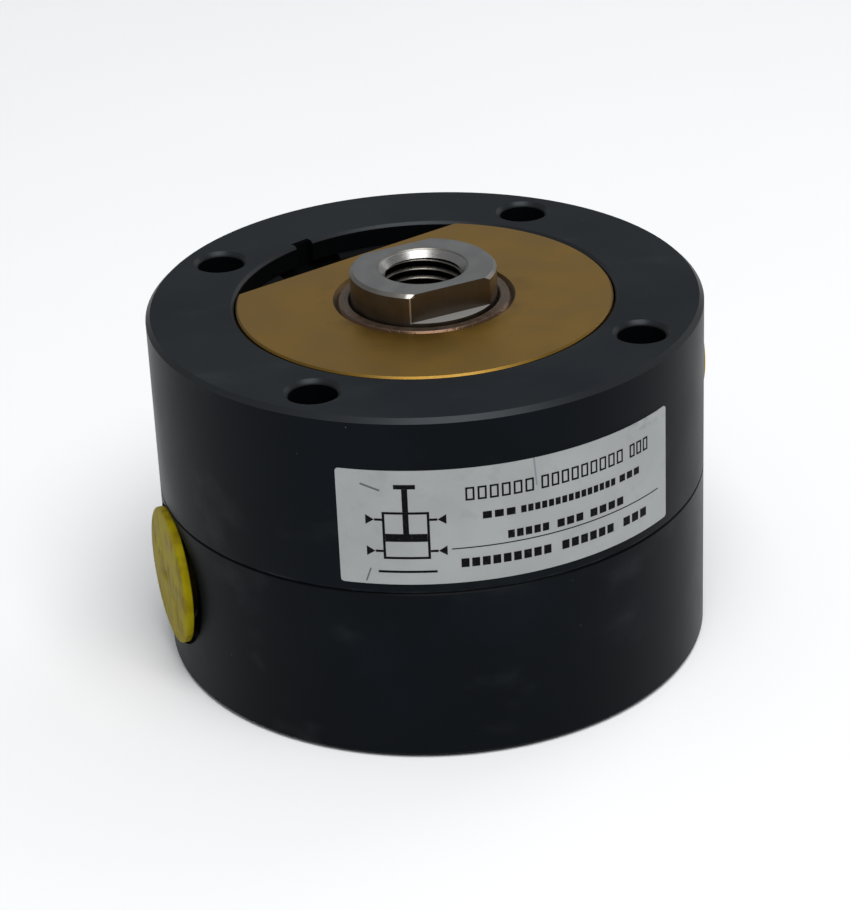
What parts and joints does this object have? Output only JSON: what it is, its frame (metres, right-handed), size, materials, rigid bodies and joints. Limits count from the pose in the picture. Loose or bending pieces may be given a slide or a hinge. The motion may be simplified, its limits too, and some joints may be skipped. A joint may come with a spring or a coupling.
{
  "type": "compact pneumatic cylinder",
  "caption": "Round short-stroke double-acting air cylinder with a gold gland, a threaded steel rod end with wrench flats, side ports closed by yellow plugs, and through mounting holes.",
  "frame": {"origin": "centre of the flat base face, on the cylinder axis", "axes": "+Z along the rod, out of the gland; +X towards the upper port, with the lower port on -X; the label faces -Y"},
  "size_m": [0.0612, 0.0605, 0.0432],
  "materials": {
    "body_black": "black anodised, satin",
    "liner_metal": "honed and hard-anodised",
    "seal_rubber": "matte",
    "screw_steel": "black oxide",
    "gland_gold": "gold anodised, satin",
    "ring_steel": "drawn wire",
    "bushing_metal": "sintered, dry",
    "rod_steel": "turned and ground",
    "piston_metal": "turned",
    "bumper_plastic": "translucent urethane",
    "plug_yellow": "soft moulded",
    "label_white": "printed film"
  },
  "bodies": {
    "housing": {"lower_body": "body_black", "upper_body": "body_black", "cylinder_liner": "liner_metal", "lower_liner_seal": "seal_rubber", "upper_liner_seal": "seal_rubber", "body_screws": "screw_steel", "gland": "gland_gold", "gland_seal": "seal_rubber", "retaining_ring": "ring_steel", "rod_bushing": "bushing_metal", "rod_seal": "seal_rubber", "label": "label_white"},
    "piston_seal_ring": {"piston_seal": "seal_rubber"},
    "rod_assembly": {"piston_rod": "rod_steel", "piston": "piston_metal", "piston_rod_seal": "seal_rubber", "piston_screw": "screw_steel", "rod_side_bumper": "bumper_plastic", "cap_side_bumper": "bumper_plastic"},
    "upper_plug": {"upper_port_plug": "plug_yellow"},
    "lower_plug": {"lower_port_plug": "plug_yellow"}
  },
  "joints": [
    {"name": "rod_slide", "type": "slide", "parent": "housing", "child": "piston_seal_ring", "axis": [0, 0, 1], "range_m": [0, 0.0127]},
    {"name": "rod_turn", "type": "hinge", "parent": "piston_seal_ring", "child": "rod_assembly", "pos_m": [0, 0, 0.03969], "axis": [0, 0, 1], "continuous": true},
    {"name": "upper_plug_pull", "type": "slide", "parent": "housing", "child": "upper_plug", "axis": [1, 0, 0], "range_m": [0, 0.008]},
    {"name": "lower_plug_pull", "type": "slide", "parent": "housing", "child": "lower_plug", "axis": [-1, 0, 0], "range_m": [-0.0009, 0.008]}
  ]
}
